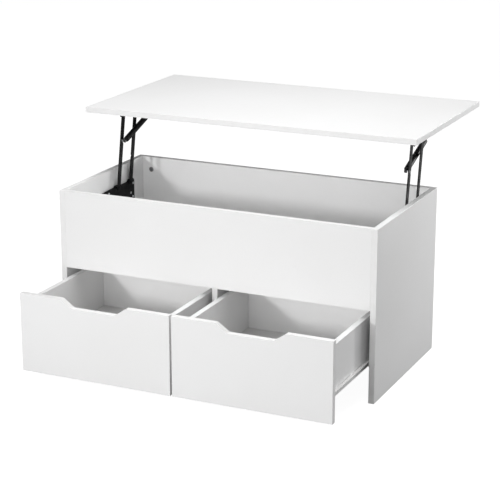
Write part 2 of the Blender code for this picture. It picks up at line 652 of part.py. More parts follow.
clear_scene()
materials = {name: add_material(name) for name in FINISHES}
empties = add_bodies()
cabinet_boards = make_cabinet()
cut_cam_pockets(cabinet_boards)
for each_side in SIDES:
    make_cam_lock(each_side)
    make_drawer(each_side)
make_cabinet_runners(cabinet_boards)
make_lift(cabinet_boards)
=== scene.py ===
"""Looks of the lift top coffee table: white melamine boards with edge banding, a black steel
lift mechanism, white roller runners, and their fasteners, in a plain bright studio."""

import json
from math import acos, atan2, cos, pi, radians, sin

import bmesh
import bpy
from mathutils import Matrix, Vector


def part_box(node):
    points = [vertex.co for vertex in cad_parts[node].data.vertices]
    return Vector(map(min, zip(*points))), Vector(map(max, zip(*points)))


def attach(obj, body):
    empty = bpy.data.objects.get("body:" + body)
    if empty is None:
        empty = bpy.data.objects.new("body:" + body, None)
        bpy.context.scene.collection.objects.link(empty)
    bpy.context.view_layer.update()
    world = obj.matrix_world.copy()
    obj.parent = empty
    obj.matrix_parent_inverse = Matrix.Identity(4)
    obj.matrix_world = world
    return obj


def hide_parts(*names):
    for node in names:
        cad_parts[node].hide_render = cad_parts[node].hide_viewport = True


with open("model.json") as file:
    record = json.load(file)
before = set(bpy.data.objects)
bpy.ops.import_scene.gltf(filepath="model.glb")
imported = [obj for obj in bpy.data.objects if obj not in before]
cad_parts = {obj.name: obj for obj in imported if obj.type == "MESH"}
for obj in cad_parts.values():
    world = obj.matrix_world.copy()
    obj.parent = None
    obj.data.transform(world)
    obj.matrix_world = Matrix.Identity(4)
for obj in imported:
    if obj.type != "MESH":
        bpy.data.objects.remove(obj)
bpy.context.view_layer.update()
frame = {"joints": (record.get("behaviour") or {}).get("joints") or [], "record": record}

MM = 0.001
SMALLEST = 0.05 * MM            # a rounded corner never shrinks below this
GAP = 0.3 * MM                  # clearance between neighbouring parts
LIFT = 0.02 * MM                # keeps faces that would coincide apart
SHARP_ANGLE = radians(32)
JOINTS = {joint["name"]: joint for joint in frame["joints"]}
SIDES = {"left": -1, "right": 1}
BODY_OF = {node: body for body, nodes in frame["record"]["behaviour"]["bodies"].items()
           for node in nodes}


# ---- outlines ------------------------------------------------------------------------------------

def arc(centre, radius, start, end, steps):
    return [(centre[0] + radius * cos(start + (end - start) * k / steps),
             centre[1] + radius * sin(start + (end - start) * k / steps)) for k in range(steps + 1)]


def filleted(points, radii, steps=5):
    """Replaces each corner of an outline by an arc of its radius, or keeps it where that is 0."""
    out = []
    for i, radius in enumerate(radii):
        here = Vector(points[i])
        if radius == 0:
            out.append(tuple(here))
            continue
        before = (Vector(points[i - 1]) - here).normalized()
        after = (Vector(points[(i + 1) % len(points)]) - here).normalized()
        half = acos(max(-1, min(1, before.dot(after)))) / 2
        centre = here + (before + after).normalized() * (radius / sin(half))
        reach = radius * cos(half) / sin(half)
        first, last = here + before * reach - centre, here + after * reach - centre
        start = atan2(first.y, first.x)
        out += arc(tuple(centre), radius, start, start - first.angle_signed(last), steps)
    return out


def inset_polygon(points, inset):
    """Moves every side of an anticlockwise polygon inwards."""
    out = []
    for i, point in enumerate(points):
        here = Vector(point)
        before = (here - Vector(points[i - 1])).normalized()
        after = (Vector(points[(i + 1) % len(points)]) - here).normalized()
        n1, n2 = Vector((-before.y, before.x)), Vector((-after.y, after.x))
        out.append(here + (n1 + n2) * (inset / (1 + n1.dot(n2))))
    return out


def polygon(points, radii, steps=5):
    """A rounded polygon as a function of its inset. Convex corners tighten, concave ones open."""
    area = sum(a[0] * b[1] - b[0] * a[1] for a, b in zip(points, points[1:] + points[:1]))
    if area < 0:
        points, radii = points[::-1], radii[::-1]

    def ring(inset):
        moved = inset_polygon(points, inset)
        sizes = []
        for i, radius in enumerate(radii):
            here = Vector(points[i])
            before = here - Vector(points[i - 1])
            after = Vector(points[(i + 1) % len(points)]) - here
            turn = before.x * after.y - before.y * after.x
            grown = radius - inset if turn > 0 else radius + inset
            sizes.append(max(grown, SMALLEST) if radius else 0)
        return filleted(moved, sizes, steps)
    return ring


def rectangle(low, high, radius, steps=3):
    return polygon([(low[0], low[1]), (high[0], low[1]), (high[0], high[1]), (low[0], high[1])],
                   [radius] * 4, steps)


def bar(foot, head, half_width, steps=12):
    """A bar with round ends between two (u, v) points, as a function of its inset."""
    tilt = atan2(head[1] - foot[1], head[0] - foot[0])
    return lambda inset: (
        arc(head, half_width - inset, tilt - pi / 2, tilt + pi / 2, steps)
        + arc(foot, half_width - inset, tilt + pi / 2, tilt + 3 * pi / 2, steps))


# ---- solids --------------------------------------------------------------------------------------

SEAM_W, SEAM_D = 0.16 * MM, 0.08 * MM


def rim(edge, seam, steps):
    """(inset, depth, material) of the rings from a slab's face out to its side."""
    rings = []
    if seam:
        rings += [(seam + SEAM_W, 0, 0), (seam + SEAM_W / 2, SEAM_D, 2), (seam, 0, 2)]
    for k in range(steps + 1):
        a = pi / 2 * k / steps
        rings.append((edge * (1 - sin(a)), edge * (1 - cos(a)), 1 if seam else 0))
    return rings


def slab(bm, outline, place, low, high, edge=0.4 * MM, seam=None, steps=3):
    """Extrudes an outline from low to high with rounded rims. outline(inset) gives (u, v) points
    and place(u, v, w) a point in space. A seam is the joint line of edge banding: the face is
    material 0, the banding 1 and the joint 2."""
    levels = [(i, low + d, m) for i, d, m in rim(edge, seam, steps)]
    levels += [(i, high - d, m) for i, d, m in reversed(rim(edge, seam, steps))]
    middle = len(levels) // 2
    rings = [[bm.verts.new(place(p[0], p[1], w)) for p in outline(inset)]
             for inset, w, _ in levels]
    bm.faces.new(rings[0])
    bm.faces.new(rings[-1])
    count = len(rings[0])
    for r, (a, b) in enumerate(zip(rings, rings[1:])):
        material = levels[r + 1][2] if r < middle else levels[r][2]
        for k in range(count):
            n = (k + 1) % count
            bm.faces.new((a[k], b[k], b[n], a[n])).material_index = material


def turned(bm, centre, axis, profile, segments=32, closed=False):
    """A turned solid. Its profile lists (distance along the axis, radius); a closed one is a
    ring."""
    axis = Vector(axis).normalized()
    across = axis.orthogonal().normalized()
    third = axis.cross(across)
    rings = []
    for along, radius in profile:
        rings.append([
            bm.verts.new(Vector(centre) + axis * along + radius * (
                across * cos(2 * pi * k / segments) + third * sin(2 * pi * k / segments)))
            for k in range(segments)])
    if not closed:
        bm.faces.new(rings[0])
        bm.faces.new(rings[-1])
    for a, b in zip(rings, rings[1:] + (rings[:1] if closed else [])):
        for k in range(segments):
            n = (k + 1) % segments
            bm.faces.new((a[k], b[k], b[n], a[n]))


def rod(bm, start, end, radius, segments=24):
    """A plain round rod between two points."""
    start, end = Vector(start), Vector(end)
    turned(bm, start, end - start, [(0, radius), ((end - start).length, radius)], segments)


def rounded_profile(points, radii, steps=4):
    """A turned profile's corners replaced by arcs; its two ends are kept."""
    out = [points[0]]
    for i in range(1, len(points) - 1):
        corner = filleted([points[i - 1], points[i], points[i + 1]], [0, radii[i - 1], 0], steps)
        out += corner[1:-1]
    return out + [points[-1]]


def block(bm, low, high):
    """A box between two corners."""
    made = bmesh.ops.create_cube(bm, size=1)["verts"]
    for v in made:
        v.co = Vector(lo + (c + 0.5) * (hi - lo) for lo, hi, c in zip(low, high, v.co))


def solid_object(name, bm, materials):
    """Turns a bmesh into an object of the scene, with its faces turned outwards."""
    bmesh.ops.recalc_face_normals(bm, faces=bm.faces)
    mesh = bpy.data.meshes.new(name)
    bm.to_mesh(mesh)
    bm.free()
    for material in materials:
        mesh.materials.append(material)
    ob = bpy.data.objects.new(name, mesh)
    bpy.context.scene.collection.objects.link(ob)
    return ob


def bake(ob):
    """Replaces an object's mesh by its evaluated one, and drops its modifiers."""
    graph = bpy.context.evaluated_depsgraph_get()
    mesh = bpy.data.meshes.new_from_object(ob.evaluated_get(graph))
    old = ob.data
    ob.modifiers.clear()
    ob.data = mesh
    bpy.data.meshes.remove(old)


def carve(ob, bm, operation="DIFFERENCE", material=None):
    """Cuts or joins a shape. A cut's walls take the material, if one is given."""
    cutter = solid_object("cutter", bm, [material or ob.data.materials[0]])
    if material and material.name not in ob.data.materials:
        ob.data.materials.append(material)
    modifier = ob.modifiers.new("carve", "BOOLEAN")
    modifier.object = cutter
    modifier.operation = operation
    modifier.solver = "EXACT"
    modifier.material_mode = "TRANSFER"
    bake(ob)
    mesh = cutter.data
    bpy.data.objects.remove(cutter)
    bpy.data.meshes.remove(mesh)


def finish_piece(ob, body, nodes=()):
    """Smooths a piece, puts it on its body, and hides the CAD nodes it stands for."""
    ob.data.shade_smooth()
    ob.data.set_sharp_from_angle(angle=SHARP_ANGLE)
    weighted = ob.modifiers.new("normals", "WEIGHTED_NORMAL")
    weighted.keep_sharp = True
    weighted.weight = 100
    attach(ob, body)
    if nodes:
        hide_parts(*nodes)
    return ob


# ---- materials -----------------------------------------------------------------------------------

class Nodes:
    """A small wrapper that makes and links shader nodes."""

    def __init__(self, name):
        self.material = bpy.data.materials.new(name)
        self.material.use_nodes = True
        self.tree = self.material.node_tree
        self.shader = self.tree.nodes["Principled BSDF"]
        self.place = self.add("ShaderNodeTexCoord").outputs["Object"]

    def add(self, kind, **settings):
        node = self.tree.nodes.new(kind)
        for key, value in settings.items():
            setattr(node, key, value)
        return node

    def link(self, output, target):
        self.tree.links.new(output, target)

    def noise(self, scale, detail=3, stretch=None):
        place = self.place
        if stretch:
            mapping = self.add("ShaderNodeMapping")
            mapping.inputs["Scale"].default_value = stretch
            self.link(place, mapping.inputs["Vector"])
            place = mapping.outputs["Vector"]
        node = self.add("ShaderNodeTexNoise")
        node.inputs["Scale"].default_value = scale
        node.inputs["Detail"].default_value = detail
        self.link(place, node.inputs["Vector"])
        return node.outputs["Fac"]

    def spread(self, value, low, high, start=0.3, end=0.7):
        """Maps start..end of a value to low..high."""
        node = self.add("ShaderNodeMapRange")
        for key, number in (("From Min", start), ("From Max", end), ("To Min", low),
                            ("To Max", high)):
            node.inputs[key].default_value = number
        self.link(value, node.inputs["Value"])
        return node.outputs["Result"]

    def mix(self, factor, first, second):
        node = self.add("ShaderNodeMix", data_type="RGBA")
        self.link(factor, node.inputs["Factor"])
        for colour, socket in ((first, node.inputs["A"]), (second, node.inputs["B"])):
            if isinstance(colour, tuple):
                socket.default_value = (*colour, 1)
            else:
                self.link(colour, socket)
        return node.outputs["Result"]

    def bump(self, height, distance, strength=1.0, below=None):
        node = self.add("ShaderNodeBump")
        node.inputs["Distance"].default_value = distance
        node.inputs["Strength"].default_value = strength
        self.link(height, node.inputs["Height"])
        if below:
            self.link(below, node.inputs["Normal"])
        return node.outputs["Normal"]

    def set(self, **values):
        for key, value in values.items():
            socket = self.shader.inputs[key.replace("_", " ")]
            if isinstance(value, (int, float)):
                socket.default_value = value
            elif isinstance(value, tuple):
                socket.default_value = (*value, 1)
            else:
                self.link(value, socket)
        return self.material


def grey(value, warm=0.0):
    return (value * (1 + warm), value, value * (1 - warm))


def melamine(name, white, rough, grain=1.0):
    """Melamine foil: nearly even white, with a fine pearl texture and faint cloudy gloss."""
    m = Nodes(name)
    cloud = m.spread(m.noise(3.5, 2), 0, 1)
    colour = m.mix(cloud, grey(white * 0.985, 0.002), grey(white * 1.01, -0.001))
    fleck = m.spread(m.noise(420, 2), 0, 1, 0.25, 0.42)
    colour = m.mix(fleck, grey(white * 0.965), colour)
    gloss = m.spread(m.noise(55, 4), rough - 0.05, rough + 0.05)
    pearl = m.bump(m.noise(1100, 2), 0.00004, 0.55 * grain)
    ripple = m.bump(m.noise(26, 2), 0.0004, 0.10 * grain, below=pearl)
    return m.set(Base_Color=colour, Roughness=gloss, Normal=ripple, IOR=1.5)


def edge_band(name, white):
    """Plastic edge banding: a touch smoother, with milling ripples along the edge."""
    m = Nodes(name)
    tone = m.spread(m.noise(40, 3), 0, 1)
    colour = m.mix(tone, grey(white * 0.975, 0.003), grey(white * 1.01, 0.001))
    gloss = m.spread(m.noise(130, 3), 0.30, 0.42)
    ripple = m.bump(m.noise(300, 2, stretch=(1, 1, 0.25)), 0.00005, 0.5)
    return m.set(Base_Color=colour, Roughness=gloss, Normal=ripple, IOR=1.48)


def joint_line(name, tone):
    """The glue line between a face and its edge banding, with a little dust in it."""
    m = Nodes(name)
    dust = m.spread(m.noise(90, 3), 0, 1)
    return m.set(Base_Color=m.mix(dust, grey(tone * 0.8, 0.01), grey(tone * 1.1, 0.01)),
                 Roughness=m.spread(m.noise(300, 2), 0.6, 0.8))


def chipboard(name):
    """The raw core that shows in a bore's wall."""
    m = Nodes(name)
    cells = m.add("ShaderNodeTexVoronoi")
    cells.inputs["Scale"].default_value = 700
    m.link(m.place, cells.inputs["Vector"])
    chips = m.spread(cells.outputs["Distance"], 0, 1, 0.1, 0.8)
    colour = m.mix(chips, (0.52, 0.38, 0.24), (0.30, 0.19, 0.11))
    return m.set(Base_Color=colour, Roughness=m.spread(m.noise(500), 0.75, 0.95),
                 Normal=m.bump(chips, 0.0003, 0.8))


def powder_coat(name, colour, lighter, rough, grain=1.0, gleam=0.5):
    """Powder coat on steel: fine orange peel, with a thin polish on rubbed spots."""
    m = Nodes(name)
    patches = m.spread(m.noise(45, 4), 0, 1, 0.35, 0.75)
    tint = m.mix(patches, colour, lighter)
    gloss = m.spread(m.noise(120, 4), rough - 0.08, rough + 0.10)
    peel = m.bump(m.noise(900, 2), 0.00006, 0.7 * grain)
    grit = m.bump(m.noise(3200, 2), 0.00002, 0.5 * grain, below=peel)
    return m.set(Base_Color=tint, Roughness=gloss, Normal=grit, IOR=1.5,
                 Specular_IOR_Level=gleam)


def metal(name, colour, dark, rough, stretch, lines=0.5):
    """Bare or plated metal with drawn lines and slight tarnish."""
    m = Nodes(name)
    tarnish = m.spread(m.noise(70, 4), 0, 1, 0.3, 0.8)
    drawn = m.noise(500, 3, stretch=stretch)
    return m.set(Base_Color=m.mix(tarnish, colour, dark), Metallic=1.0,
                 Roughness=m.spread(drawn, rough - 0.06, rough + 0.10),
                 Normal=m.bump(drawn, 0.00002, lines))


def moulded(name, colour, shade, rough):
    """Moulded plastic: a satin skin with faint flow marks."""
    m = Nodes(name)
    flow = m.spread(m.noise(35, 3), 0, 1)
    return m.set(Base_Color=m.mix(flow, colour, shade),
                 Roughness=m.spread(m.noise(200, 3), rough - 0.05, rough + 0.08),
                 Normal=m.bump(m.noise(1300, 2), 0.00003, 0.5), IOR=1.53)


def fibreboard(name, white):
    """Thin lacquered fibreboard, with short fibres showing through the paint."""
    m = Nodes(name)
    fibres = m.noise(260, 4, stretch=(1, 3.5, 1))
    colour = m.mix(m.spread(fibres, 0, 1), grey(white * 0.95, 0.01), grey(white * 1.01, 0.004))
    return m.set(Base_Color=colour, Roughness=m.spread(m.noise(90, 3), 0.48, 0.62),
                 Normal=m.bump(fibres, 0.00008, 0.6))


FACE = melamine("melamine_white", 0.84, 0.42)
BAND = edge_band("edge_band_white", 0.83)
JOINT = joint_line("edge_joint", 0.62)
BOARD_FINISH = [FACE, BAND, JOINT]
CORE = chipboard("chipboard_core")
PANEL = fibreboard("drawer_bottom_white", 0.80)
BLACK = powder_coat("steel_black_powder", (0.004, 0.004, 0.0045), (0.008, 0.008, 0.009), 0.50,
                    gleam=0.11)
WHITE_STEEL = powder_coat("steel_white_epoxy", (0.76, 0.76, 0.75), (0.80, 0.80, 0.79), 0.34, 0.7)
STRUT_BLACK = powder_coat("strut_tube_black", (0.004, 0.004, 0.0045), (0.007, 0.007, 0.008),
                          0.34, 0.4, 0.18)
ZINC = metal("zinc_plate", (0.78, 0.79, 0.81), (0.60, 0.60, 0.62), 0.34, (1, 1, 1))
CHROME = metal("strut_rod_chrome", (0.62, 0.62, 0.64), (0.50, 0.50, 0.52), 0.20, (1, 0.1, 1), 0.1)
CAM_METAL = metal("cam_dark_diecast", (0.36, 0.36, 0.37), (0.26, 0.26, 0.265), 0.46, (1, 1, 1))
NYLON = moulded("nylon_white", (0.80, 0.80, 0.78), (0.74, 0.74, 0.72), 0.36)
BLACK_PLASTIC = moulded("strut_end_plastic", (0.020, 0.020, 0.022), (0.014, 0.014, 0.015), 0.40)


# ---- boards --------------------------------------------------------------------------------------

BAND_T, BOARD_EDGE, CORNER = 1.0 * MM, 0.45 * MM, 0.8 * MM
BUTTED = {"front_panel", "back_panel", "storage_floor"}
TIGHT, BUTTED_SHARP = 0.27 * MM, 0.4    # a butted board's extra reach, and its share of rounding
POCKET_R, POCKET_DEEP = 7.5 * MM, 12.3 * MM
# a point from its two places along an outline and its place along the third axis, X, Y or Z
PLACES = [lambda u, v, w: Vector((w, u, v)), lambda u, v, w: Vector((u, w, v)),
          lambda u, v, w: Vector((u, v, w))]


def board_axes(node):
    """A board's box, its thin direction, and the other two."""
    low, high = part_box(node)
    thin = min(range(3), key=lambda i: high[i] - low[i])
    return low, high, thin, [i for i in range(3) if i != thin]


def make_board(node, pockets=()):
    """A banded board in place of a CAD board, with blind bores at (face point, normal). A butted
    board reaches the side panels without the CAD's clearance."""
    low, high, thin, (u, v) = board_axes(node)
    if node in BUTTED:
        low.x, high.x = low.x - TIGHT, high.x + TIGHT
    bm = bmesh.new()
    sharp = BUTTED_SHARP if node in BUTTED else 1
    slab(bm, rectangle((low[u], low[v]), (high[u], high[v]), CORNER * sharp), PLACES[thin],
         low[thin], high[thin], BOARD_EDGE * sharp, BAND_T)
    ob = solid_object(node + "_board", bm, BOARD_FINISH)
    for face, normal in pockets:
        cutter = bmesh.new()
        rod(cutter, face + normal * MM, face - normal * POCKET_DEEP, POCKET_R, 32)
        carve(ob, cutter, material=CORE)
    return finish_piece(ob, BODY_OF[node], [node])


for board in ("side_panel_left", "side_panel_right", "tabletop", "drawer_left_back",
              "drawer_right_back"):
    make_board(board)


# ---- cam locks -----------------------------------------------------------------------------------

CAM_R, CAM_DEEP = 7.4 * MM, 12 * MM
cam_low, cam_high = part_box("cam_lock_left")
CAM_X = round(abs(cam_low.x + cam_high.x) / MM) / 2 * MM
CAM_TOP_Z = 0.440                       # the upper cams of the front and back panels
FRONT_CAM_Z, BACK_CAM_Z = (0.300, CAM_TOP_Z), (0.075, CAM_TOP_Z)
FLOOR_CAM_Y, CAM_OFFSET = (-0.150, 0.150), 0.0285
CAM_TURN = 0.35


def cam_lock_mesh():
    """A die-cast cam: a rim set off by a ring groove, and a flat face with a crossed driver recess.
    """
    bm = bmesh.new()
    turned(bm, (0, 0, 0), (0, 0, 1), rounded_profile(
        [(-CAM_DEEP, 1.0 * MM), (-CAM_DEEP, CAM_R), (-0.4 * MM, CAM_R), (-0.4 * MM, 0.5 * MM)],
        [0.6 * MM, 0.5 * MM]), 48)
    ob = solid_object("cam", bm, [CAM_METAL])
    for angle in (0, pi / 2):
        cutter = bmesh.new()
        block(cutter, (-4.2 * MM, -0.75 * MM, -3.2 * MM), (4.2 * MM, 0.75 * MM, 2 * MM))
        bmesh.ops.rotate(cutter, verts=cutter.verts, matrix=Matrix.Rotation(angle, 3, "Z"))
        carve(ob, cutter)
    ring = bmesh.new()
    turned(ring, (0, 0, 0), (0, 0, 1), [
        (MM, 5.3 * MM), (-0.75 * MM, 5.3 * MM), (-0.75 * MM, 6.0 * MM), (MM, 6.0 * MM)], 48,
        closed=True)
    carve(ob, ring)
    mesh = ob.data
    bpy.data.objects.remove(ob)
    return mesh


def facing(normal):
    """A rotation that takes +Z to a direction."""
    return Vector(normal).to_track_quat("Z", "Y").to_matrix().to_4x4()


def add_copies(name, mesh, places, body, nodes=()):
    """One piece made of copies of a mesh, at (point, direction of its +Z, turn about it)."""
    bm = bmesh.new()
    for point, normal, turn in places:
        copy = mesh.copy()
        copy.transform(Matrix.Translation(point) @ facing(normal)
                       @ Matrix.Rotation(turn, 4, "Z"))
        bm.from_mesh(copy)
        bpy.data.meshes.remove(copy)
    ob = solid_object(name, bm, list(mesh.materials))
    return finish_piece(ob, body, nodes)


def make_cam_boards():
    """The boards with cam pockets, and the cams in them."""
    cam = cam_lock_mesh()
    inner_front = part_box("front_panel")[1].y
    inner_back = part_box("back_panel")[0].y
    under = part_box("storage_floor")[0].z
    divider_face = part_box("centre_divider")[1].x
    ends = (-CAM_X, CAM_X)
    pockets = {
        "front_panel": [(Vector((x, inner_front, z)), Vector((0, 1, 0)))
                        for x in ends for z in FRONT_CAM_Z],
        "back_panel": [(Vector((x, inner_back, z)), Vector((0, -1, 0)))
                       for x in ends for z in BACK_CAM_Z],
        "storage_floor": [(Vector((x, y, under)), Vector((0, 0, -1)))
                          for x in ends for y in FLOOR_CAM_Y],
        "centre_divider": [(Vector((divider_face, y, under - CAM_OFFSET)), Vector((1, 0, 0)))
                           for y in FLOOR_CAM_Y],
    }
    for node, places in pockets.items():
        make_board(node, places)
    for side, s in SIDES.items():
        held = (Vector((s * CAM_X, inner_back, CAM_TOP_Z)), Vector((0, -1, 0)))
        add_copies("cam_lock_rear_" + side, cam, [(*held, CAM_TURN * s)], "cabinet",
                   ["cam_lock_" + side])
    others = []
    for node, places in pockets.items():
        others += [(face, normal, CAM_TURN + 0.5 * i) for i, (face, normal) in enumerate(places)
                   if not (node == "back_panel" and face.z > 0.4)]
    add_copies("cam_locks_hidden", cam, others, "cabinet")


make_cam_boards()


# ---- drawers -------------------------------------------------------------------------------------

NOTCH_TOP, NOTCH_BOTTOM, NOTCH_DEPTH, NOTCH_R = 98 * MM, 65 * MM, 23 * MM, 9 * MM


def make_drawer_front(side):
    """A front with its trapezoid finger cut-out, banded all round."""
    node = f"drawer_{side}_front"
    low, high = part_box(node)
    middle, floor = (low.x + high.x) / 2, high.z - NOTCH_DEPTH
    points = [(low.x, low.z), (high.x, low.z), (high.x, high.z), (middle + NOTCH_TOP, high.z),
              (middle + NOTCH_BOTTOM, floor), (middle - NOTCH_BOTTOM, floor),
              (middle - NOTCH_TOP, high.z), (low.x, high.z)]
    outline = polygon(points, [CORNER] * 3 + [NOTCH_R] * 4 + [CORNER], 8)
    bm = bmesh.new()
    slab(bm, outline, PLACES[1], low.y, high.y, BOARD_EDGE, BAND_T)
    ob = solid_object(node + "_board", bm, BOARD_FINISH)
    finish_piece(ob, BODY_OF[node], [node])


def make_drawer_bottom(side):
    """The thin panel under a drawer."""
    node = f"drawer_{side}_bottom"
    low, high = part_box(node)
    bm = bmesh.new()
    slab(bm, rectangle((low.x, low.y), (high.x, high.y), CORNER), PLACES[2], low.z, high.z,
         0.3 * MM, steps=2)
    ob = solid_object(node + "_panel", bm, [PANEL])
    finish_piece(ob, BODY_OF[node], [node])


for each in SIDES:
    make_drawer_front(each)
    make_drawer_bottom(each)
    for where in ("outer", "inner"):
        make_board(f"drawer_{each}_{where}_side")


# ---- fasteners -----------------------------------------------------------------------------------

def crossed(profile, head_r, floor, material):
    """The mesh of a turned screw, its head at the +Z end, with a crossed recess down to a floor."""
    bm = bmesh.new()
    turned(bm, (0, 0, 0), (0, 0, 1), profile, 28)
    ob = solid_object("screw", bm, [material])
    for angle in (pi / 4, -pi / 4):
        cutter = bmesh.new()
        block(cutter, (-head_r * 0.55, -head_r * 0.13, floor),
              (head_r * 0.55, head_r * 0.13, 4 * MM))
        bmesh.ops.rotate(cutter, verts=cutter.verts, matrix=Matrix.Rotation(angle, 3, "Z"))
        carve(ob, cutter)
    mesh = ob.data
    bpy.data.objects.remove(ob)
    return mesh


def screw_mesh(head_r, head_h, shank_r, length, material):
    """A pan-head screw along -Z with its head's underside at 0, and a crossed recess."""
    dome = [(head_h * (0.35 + 0.65 * sin(a)), head_r * (0.25 + 0.75 * cos(a)))
            for a in [pi / 2 * k / 6 for k in range(6, -1, -1)]]
    return crossed(dome + [(0, head_r), (0, shank_r), (-length, shank_r)], head_r,
                   head_h * 0.35, material)


BIG_SCREW = screw_mesh(3.6 * MM, 1.8 * MM, 1.5 * MM, 12 * MM, ZINC)
FLAT_R, FLAT_SHANK, FLAT_DEEP, FLAT_ROOM = 3.0 * MM, 1.5 * MM, 1.15 * MM, 0.06 * MM
FLAT_SCREW = crossed([(0, FLAT_R / 4), (0, FLAT_R), (-FLAT_DEEP, FLAT_SHANK),
                      (-9 * MM, FLAT_SHANK)], FLAT_R, -0.7 * MM, ZINC)


def countersink(ob, point, out):
    """Cuts a countersunk hole for a flat screw whose head ends at a point."""
    hole = bmesh.new()
    turned(hole, point, out, [
        (MM, FLAT_R + FLAT_ROOM), (0, FLAT_R + FLAT_ROOM), (-FLAT_DEEP, FLAT_SHANK + FLAT_ROOM),
        (-3 * MM, FLAT_SHANK + FLAT_ROOM)], 28)
    carve(ob, hole)


# ---- runners -------------------------------------------------------------------------------------

SHEET, SHEET_EDGE = 1.2 * MM, 0.2 * MM
CHANNEL_TOP, CHANNEL_LIP = 0.1202, 9.7 * MM
ANGLE_TOP, ANGLE_W, FLANGE_REACH = 0.113, 12 * MM, 8.7 * MM
WHEEL_ROOM = 12.5 * MM                  # from a wheel's axle to the end of the sheet beside it
STOP_FRONT, STOP_REAR, STOP_LOW = -0.1442, -0.1430, 0.114
DRAWER_SCREW_Z, DRAWER_SCREWS = 0.105, [0.040 + 0.150 * k for k in range(3)]
CABINET_SCREW_Z, CABINET_SCREWS = 0.1075, [-0.165, -0.005, 0.155]
INNER_STAGGER = 12 * MM                 # keeps the screws on the divider's two faces apart
RIVET_R, RIVET_HEAD_R, RIVET_HEAD_H = 2.5 * MM, 3.5 * MM, 0.55 * MM
RIVET_FACE, RIVET_DOME = 3.8 * MM, 3.9 * MM     # from a wheel's middle


def towards_drawer(side, place):
    """+1 where a wall's drawer lies on its +X side."""
    return SIDES[side] * (-1 if place == "outer" else 1)


def make_roller(side, place, owner):
    """A nylon wheel: a rounded tyre, a thinner web and a hub with its rivet's bore."""
    node = f"{owner}_{side}_{place}_roller"
    low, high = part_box(node)
    centre = (low + high) / 2
    radius = (high.z - low.z) / 2
    half = (high.x - low.x) / 2
    bore, hub, web = RIVET_R + 0.2 * MM, 4.8 * MM, half * 0.45
    section = [(-half, bore), (-half, hub), (-web, hub + 0.4 * MM), (-web, radius - 2.6 * MM),
               (-half, radius - 2.2 * MM), (-half, radius), (half, radius),
               (half, radius - 2.2 * MM), (web, radius - 2.6 * MM), (web, hub + 0.4 * MM),
               (half, hub), (half, bore)]
    round_off = [0, 0.4 * MM, 0.4 * MM, 0.6 * MM, 0.4 * MM, MM, MM, 0.4 * MM, 0.6 * MM,
                 0.4 * MM, 0.4 * MM, 0]
    bm = bmesh.new()
    turned(bm, centre, (1, 0, 0), filleted(section, round_off, 4), 56, closed=True)
    ob = solid_object(node + "_wheel", bm, [NYLON])
    finish_piece(ob, BODY_OF[node], [node])


def dome_head(start, out, radius, height):
    """Profile of a domed rivet head from its rim to its middle, going out along the axis."""
    return [(start + out * height * sin(a), radius * (0.15 + 0.85 * cos(a)))
            for a in [pi / 2 * k / 5 for k in range(6)]]


def add_wheel_rivet(ob, start, axle, out):
    """Joins the rivet that a wheel turns on to its sheet, going from a start along X."""
    rivet = bmesh.new()
    turned(rivet, (0, axle.y, axle.z), (1, 0, 0),
           [(start, RIVET_R), (axle.x + out * RIVET_FACE, RIVET_R),
            (axle.x + out * RIVET_FACE, RIVET_HEAD_R)]
           + dome_head(axle.x + out * RIVET_DOME, out, RIVET_HEAD_R, RIVET_HEAD_H), 28)
    carve(ob, rivet, "UNION")


def add_runner_screws(ob, node, places):
    """Countersinks a runner for its screws, finishes it, and adds them."""
    for point, out, _ in places:
        countersink(ob, point, out)
    finish_piece(ob, BODY_OF[node], [node])
    add_copies(node + "_screws", FLAT_SCREW, places, BODY_OF[node])


def make_drawer_runner(side, place):
    """The angle under a drawer side, with its rolling flange and the roller's rivet."""
    node = f"drawer_{side}_{place}_runner"
    side_low, side_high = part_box(f"drawer_{side}_{place}_side")
    d = towards_drawer(side, place)
    outer = side_low.x if d > 0 else side_high.x
    leg = outer - d * GAP
    far = outer + d * ANGLE_W - d * GAP
    roller_low, roller_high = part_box(f"drawer_{side}_{place}_roller")
    axle = (roller_low + roller_high) / 2
    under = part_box(f"drawer_{side}_bottom")[0].z - GAP
    section = [(leg - d * SHEET, under - SHEET), (far, under - SHEET), (far, under), (leg, under),
               (leg, ANGLE_TOP), (leg - d * SHEET, ANGLE_TOP)]
    bm = bmesh.new()
    slab(bm, polygon(section, [1.1 * MM, 0.3 * MM, 0.3 * MM, 0.3 * MM, 0.3 * MM, 0], 4),
         PLACES[1], side_low.y + GAP, side_high.y, SHEET_EDGE, steps=2)
    ob = solid_object(node + "_angle", bm, [WHITE_STEEL])
    flange = bmesh.new()
    inner, reach = leg - d * SHEET * 0.6, leg - d * FLANGE_REACH
    slab(flange, rectangle((min(inner, reach), side_low.y + GAP),
                           (max(inner, reach), axle.y - WHEEL_ROOM), 2 * MM, 5), PLACES[2],
         ANGLE_TOP - SHEET - LIFT, ANGLE_TOP - LIFT, SHEET_EDGE, steps=2)
    carve(ob, flange, "UNION")
    add_wheel_rivet(ob, leg - d * SHEET / 2, axle, -d)
    add_runner_screws(ob, node, [
        (Vector((leg - d * (SHEET - LIFT), side_low.y + k, DRAWER_SCREW_Z)), (-d, 0, 0), k * 9)
        for k in DRAWER_SCREWS])


